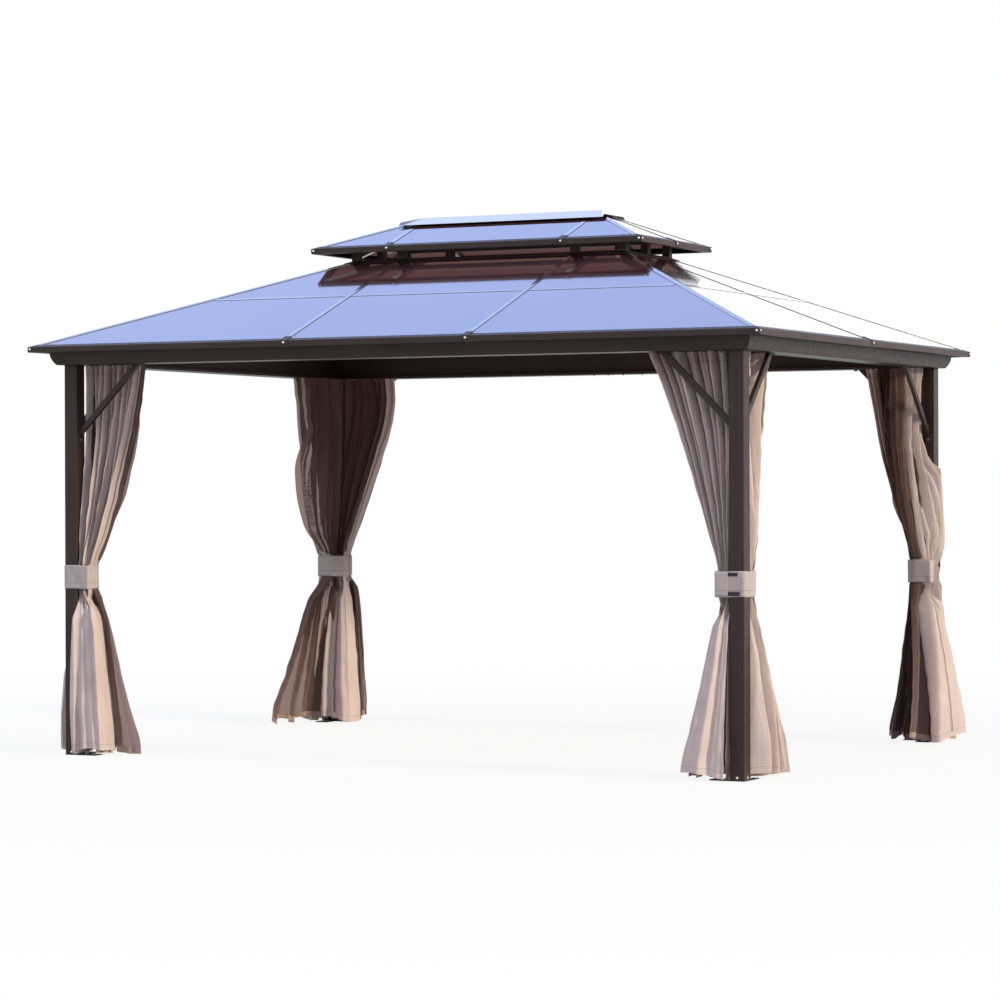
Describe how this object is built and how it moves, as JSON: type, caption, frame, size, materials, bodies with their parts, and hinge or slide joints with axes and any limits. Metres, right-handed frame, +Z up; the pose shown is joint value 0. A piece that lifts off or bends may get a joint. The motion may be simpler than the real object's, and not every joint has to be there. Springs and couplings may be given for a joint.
{
  "type": "hardtop gazebo",
  "caption": "Metal garden gazebo with square posts, knee braces, moulded beams, a vented two-tier hip roof of bronze panels, and curtains and insect nets tied back at the corners.",
  "frame": {"origin": "centre of the footprint on the ground", "axes": "+X along the long side, +Y from the front long side to the back, +Z up"},
  "size_m": [4.015, 3.025, 2.7941],
  "materials": {
    "frame": "dark brown powder coat, fine satin",
    "panel": "glossy bronze twin-wall sheet",
    "curtain": "matt taupe woven polyester",
    "net": "dark brown mesh"
  },
  "bodies": {
    "root": {"foot_plates": "frame", "post_front_left": "frame", "post_front_right": "frame", "post_back_left": "frame", "post_back_right": "frame", "front_beam": "frame", "right_beam": "frame", "back_beam": "frame", "left_beam": "frame", "beam_corners": "frame", "corner_braces": "frame", "curtain_tracks": "frame", "front_eave": "frame", "right_eave": "frame", "back_eave": "frame", "left_eave": "frame", "lower_hip_ribs": "frame", "lower_rafters": "frame", "front_panels": "panel", "right_panels": "panel", "back_panels": "panel", "left_panels": "panel", "panel_joints": "frame", "vent_curb": "frame", "vent_posts": "frame", "upper_ring": "frame", "upper_eaves": "frame", "upper_hip_ribs": "frame", "upper_rafters": "frame", "upper_panels": "panel", "ridge_beam": "frame", "ridge_brackets": "frame", "ridge_cap": "frame", "rib_clips": "frame", "curtain_front_left": "curtain", "curtain_front_right": "curtain", "curtain_back_left": "curtain", "curtain_back_right": "curtain", "net_front_left": "net", "net_front_right": "net", "net_back_left": "net", "net_back_right": "net", "tie_front_left": "curtain", "tie_front_right": "curtain", "tie_back_left": "curtain", "tie_back_right": "curtain"}
  },
  "joints": []
}
